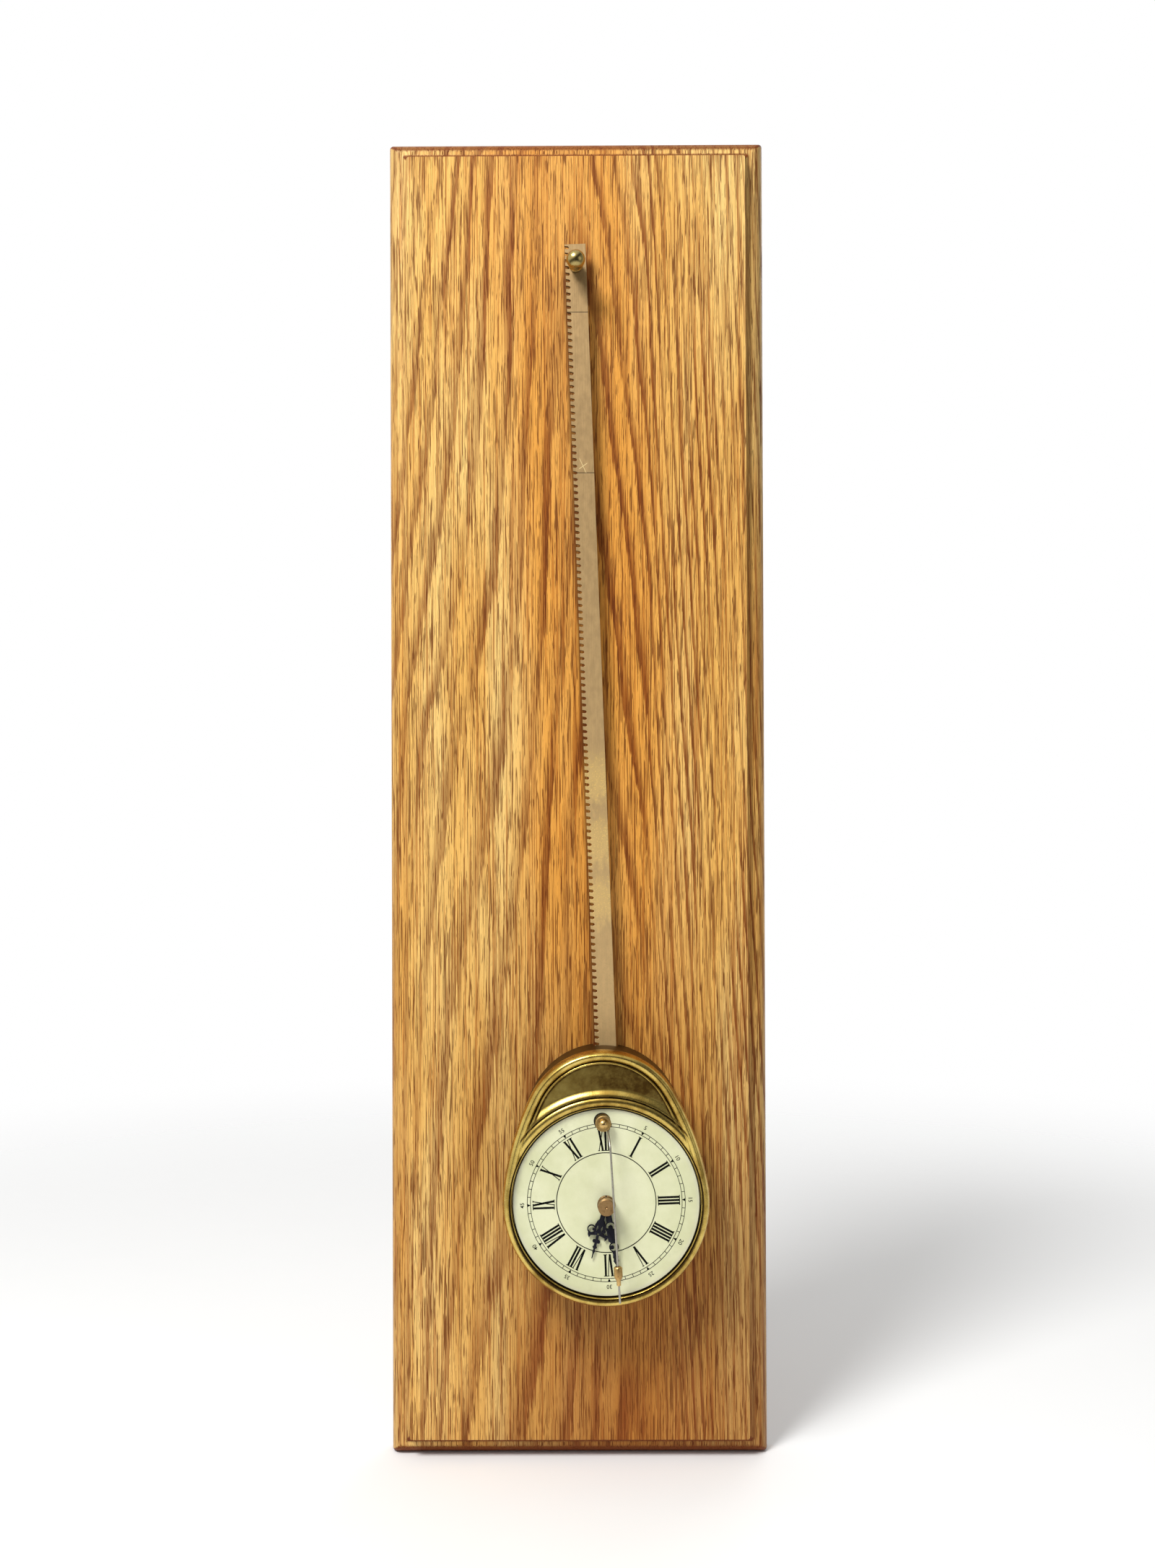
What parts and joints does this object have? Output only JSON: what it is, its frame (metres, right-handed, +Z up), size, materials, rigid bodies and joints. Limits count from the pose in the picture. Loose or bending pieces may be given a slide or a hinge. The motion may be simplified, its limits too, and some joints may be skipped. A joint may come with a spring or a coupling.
{
  "type": "gravity wall clock",
  "caption": "Wall clock whose brass movement descends a toothed hanging rack by its own weight, on a moulded oak board, with a short front pendulum.",
  "frame": {"origin": "centre of the backboard's flat back face", "axes": "+Z up along the board, +Y into the wall, -Y towards the viewer, +X to the viewer's right"},
  "size_m": [0.184, 0.0605, 0.6434],
  "materials": {
    "oak": "varnished, satin",
    "case_brass": "old lacquered brass, worn bright on the rims",
    "rack_brass": "tarnished, matt",
    "movement_brass": "bright, grained",
    "steel": "polished, slightly aged",
    "dial": "cream enamel, satin",
    "black_steel": "black, semi-gloss"
  },
  "bodies": {
    "board": {"backboard": "oak", "hanger_plate": "steel", "hanger_screw_1": "steel", "hanger_screw_2": "steel", "rack_post": "steel", "post_sleeve": "rack_brass", "post_ball": "rack_brass"},
    "rack_bar": {"rack": "rack_brass", "rack_stop_screw": "steel"},
    "clock": {"case_body": "case_brass", "rear_cover": "case_brass", "cover_screw_1": "steel", "cover_screw_2": "steel", "cover_screw_3": "steel", "cover_screw_4": "steel", "back_plate": "movement_brass", "front_plate": "movement_brass", "pillar_1": "movement_brass", "pillar_2": "movement_brass", "pillar_3": "movement_brass", "pillar_4": "movement_brass", "plate_screw_1": "steel", "plate_screw_2": "steel", "plate_screw_3": "steel", "plate_screw_4": "steel", "case_screw_1": "steel", "case_screw_2": "steel", "case_screw_3": "steel", "dial": "dial", "upper_roller_stud": "steel", "lower_roller_stud": "steel", "minute_wheel_stud": "steel"},
    "upper_roller": {"upper_guide_roller": "steel"},
    "lower_roller": {"lower_guide_roller": "steel"},
    "drive": {"rack_wheel": "movement_brass", "drive_arbor": "steel", "ratchet_wheel": "steel"},
    "great": {"great_wheel": "movement_brass", "click": "steel", "click_screw": "steel", "click_spring": "steel"},
    "centre": {"centre_arbor": "movement_brass", "cannon_pinion": "steel", "minute_hand": "black_steel", "hand_collar": "rack_brass", "hand_knob": "rack_brass"},
    "third": {"third_arbor": "movement_brass"},
    "fourth": {"fourth_arbor": "movement_brass"},
    "escape": {"escape_arbor": "movement_brass"},
    "minute_pinion": {"minute_wheel": "movement_brass"},
    "hour": {"hour_wheel": "movement_brass", "hour_hand": "black_steel"},
    "pendulum": {"pallets": "steel", "pallet_arbor": "steel", "pendulum_boss": "rack_brass", "pendulum_rod": "steel"},
    "bob": {"pendulum_bob": "rack_brass"}
  },
  "joints": [
    {"name": "rack_swing", "type": "hinge", "parent": "board", "child": "rack_bar", "pos_m": [0, -0.026, 0.255], "axis": [0, 1, 0], "range_deg": [-6, 10]},
    {"name": "clock_slide", "type": "slide", "parent": "rack_bar", "child": "clock", "axis": [-0.0349, 0, 0.9994], "range_m": [0, 0.368]},
    {"name": "drive_spin", "type": "hinge", "parent": "clock", "child": "drive", "pos_m": [0.00168, -0.026, -0.20807], "axis": [0, 1, 0], "continuous": true},
    {"name": "upper_roller_spin", "type": "hinge", "parent": "clock", "child": "upper_roller", "pos_m": [0.02324, -0.026, -0.16995], "axis": [0, 1, 0], "continuous": true},
    {"name": "lower_roller_spin", "type": "hinge", "parent": "clock", "child": "lower_roller", "pos_m": [0.02499, -0.026, -0.21992], "axis": [0, 1, 0], "continuous": true},
    {"name": "fourth_spin", "type": "hinge", "parent": "clock", "child": "fourth", "pos_m": [0.02523, -0.036, -0.16846], "axis": [0, 1, 0], "continuous": true},
    {"name": "great_spin", "type": "hinge", "parent": "clock", "child": "great", "pos_m": [0.00168, -0.0318, -0.20807], "axis": [0, 1, 0], "continuous": true},
    {"name": "centre_spin", "type": "hinge", "parent": "clock", "child": "centre", "pos_m": [0.0129, -0.038, -0.19032], "axis": [0, 1, 0], "continuous": true},
    {"name": "third_spin", "type": "hinge", "parent": "clock", "child": "third", "pos_m": [0.02825, -0.0348, -0.18349], "axis": [0, 1, 0], "continuous": true},
    {"name": "escape_spin", "type": "hinge", "parent": "clock", "child": "escape", "pos_m": [0.01197, -0.0386, -0.16374], "axis": [0, 1, 0], "continuous": true},
    {"name": "minute_wheel_spin", "type": "hinge", "parent": "clock", "child": "minute_pinion", "pos_m": [0.00412, -0.0435, -0.18214], "axis": [0, 1, 0], "continuous": true},
    {"name": "hour_spin", "type": "hinge", "parent": "clock", "child": "hour", "pos_m": [0.0129, -0.0448, -0.19032], "axis": [0, 1, 0], "continuous": true},
    {"name": "pendulum_swing", "type": "hinge", "parent": "clock", "child": "pendulum", "pos_m": [0.01158, -0.0386, -0.15254], "axis": [0, 1, 0], "range_deg": [-4.8, 11.2]},
    {"name": "bob_slide", "type": "slide", "parent": "pendulum", "child": "bob", "axis": [-0.0601, 0, 0.9982], "range_m": [-0.006, 0.006]}
  ],
  "couplings": [
    {"joint": "drive_spin", "follows": "clock_slide", "rad_per_m": 98.175},
    {"joint": "upper_roller_spin", "follows": "clock_slide", "rad_per_m": -333.33},
    {"joint": "lower_roller_spin", "follows": "clock_slide", "rad_per_m": -333.33},
    {"joint": "third_spin", "follows": "fourth_spin", "ratio": -0.16667},
    {"joint": "centre_spin", "follows": "fourth_spin", "ratio": 0.027778},
    {"joint": "great_spin", "follows": "fourth_spin", "ratio": -0.0046296},
    {"joint": "escape_spin", "follows": "fourth_spin", "ratio": -6},
    {"joint": "minute_wheel_spin", "follows": "fourth_spin", "ratio": -0.0092593},
    {"joint": "hour_spin", "follows": "fourth_spin", "ratio": 0.0023148}
  ]
}
